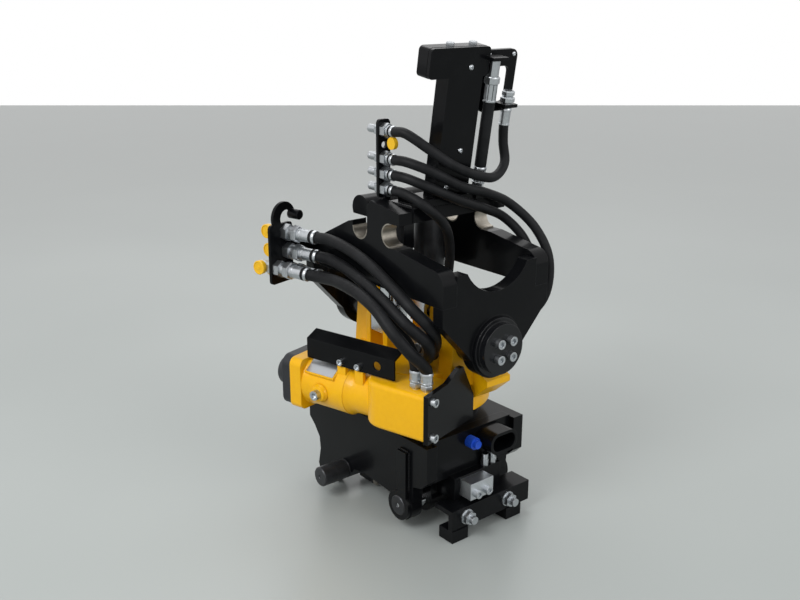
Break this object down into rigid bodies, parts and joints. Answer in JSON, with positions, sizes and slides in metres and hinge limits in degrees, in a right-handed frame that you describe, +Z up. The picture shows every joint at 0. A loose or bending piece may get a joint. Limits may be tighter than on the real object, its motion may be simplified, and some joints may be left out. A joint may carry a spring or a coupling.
{
  "type": "excavator tilt rotator",
  "caption": "Excavator tilt rotator: worm-turned yellow gear housing over a quick hitch, under a black tilting frame with carrier jaws, tilt cylinders, hoses and a hose tower.",
  "frame": {"origin": "on the rotor axis at the height of the floor that the hitch stands on", "axes": "+X along the tilt axis towards the front pin, +Z up along the rotor axis"},
  "size_m": [0.4992, 0.4242, 0.9093],
  "materials": {
    "black_paint": "satin black powder coat",
    "yellow_paint": "signal yellow enamel",
    "bare_steel": "machined steel",
    "zinc": "zinc plated steel",
    "chrome": "hard chrome",
    "dark_steel": "oiled dark steel",
    "bronze": "cast bronze",
    "alloy": "bare alloy block",
    "hose_rubber": "black hose cover",
    "seal_rubber": "black seal",
    "cap_plastic": "moulded yellow",
    "plug_plastic": "moulded blue",
    "label_metal": "bare plate"
  },
  "bodies": {
    "hitch": {"hitch_frame": "black_paint", "rotor_hub": "bare_steel", "worm_wheel": "bronze", "hitch_bolts": "zinc", "swivel_core": "bare_steel", "rear_pin": "dark_steel", "front_pin": "chrome", "lock_cylinder": "dark_steel", "valve_block": "alloy", "lock_fittings": "zinc", "foot_bar": "black_paint", "foot_blocks": "black_paint", "guide_tube": "black_paint", "port_plug": "plug_plastic"},
    "lock": {"lock_wedges": "dark_steel", "lock_yoke": "bare_steel"},
    "housing": {"gear_housing": "yellow_paint", "worm_bearings": "bare_steel", "bearing_cap": "black_paint", "worm_motor": "dark_steel", "motor_cover": "yellow_paint", "motor_end_plate": "black_paint", "housing_bolts": "zinc", "housing_plugs": "zinc", "label_plate": "label_metal", "guards": "black_paint", "housing_fittings": "zinc", "tilt_bushes": "bronze", "hub_bearing": "bare_steel", "hub_seal": "seal_rubber", "swivel_housing": "bare_steel", "lever_pins": "chrome"},
    "worm": {"worm_shaft": "bare_steel", "worm_thread": "bare_steel"},
    "upper_frame": {"side_plate_near": "black_paint", "side_plate_far": "black_paint", "front_plate": "black_paint", "rear_plate": "black_paint", "cross_beams": "black_paint", "jaw_liners": "bare_steel", "tilt_pins": "black_paint", "frame_bolts": "zinc", "cylinder_barrels": "dark_steel", "tower_column": "black_paint", "tower_guard": "black_paint", "riser_bracket": "black_paint", "rear_bracket": "black_paint", "frame_fittings": "zinc", "dust_caps": "cap_plastic", "hose_swivel_upper": "hose_rubber", "hose_swivel_lower": "hose_rubber", "hose_motor_upper": "hose_rubber", "hose_motor_lower": "hose_rubber", "hose_loop": "hose_rubber", "hose_riser_top": "hose_rubber", "hose_riser_middle": "hose_rubber", "hose_riser_low": "hose_rubber", "hose_tower": "hose_rubber"},
    "rod_near": {"rod_near": "chrome"},
    "rod_far": {"rod_far": "chrome"}
  },
  "joints": [
    {"name": "rotate", "type": "hinge", "parent": "hitch", "child": "housing", "pos_m": [0, 0, 0], "axis": [0, 0, 1], "continuous": true},
    {"name": "worm_turn", "type": "hinge", "parent": "housing", "child": "worm", "pos_m": [0.03649, -0.1362, 0.262], "axis": [0.9659, 0.2588, 0], "continuous": true},
    {"name": "tilt", "type": "hinge", "parent": "housing", "child": "upper_frame", "pos_m": [0, 0, 0.38], "axis": [1, 0, 0], "range_deg": [-40, 40], "deforming": ["hose_swivel_upper", "hose_swivel_lower", "hose_motor_upper", "hose_motor_lower", "hose_riser_top", "hose_riser_middle", "hose_riser_low"]},
    {"name": "rod_near_slide", "type": "slide", "parent": "upper_frame", "child": "rod_near", "axis": [0, 0, 1], "range_m": [-0.042, 0.042]},
    {"name": "rod_far_slide", "type": "slide", "parent": "upper_frame", "child": "rod_far", "axis": [0, 0, 1], "range_m": [-0.042, 0.042]},
    {"name": "lock_slide", "type": "slide", "parent": "hitch", "child": "lock", "axis": [1, 0, 0], "range_m": [0, 0.045]}
  ],
  "couplings": [
    {"joint": "worm_turn", "follows": "rotate", "ratio": 36},
    {"joint": "rod_near_slide", "follows": "tilt", "m_per_rad": 0.0567},
    {"joint": "rod_far_slide", "follows": "tilt", "m_per_rad": -0.0567}
  ]
}
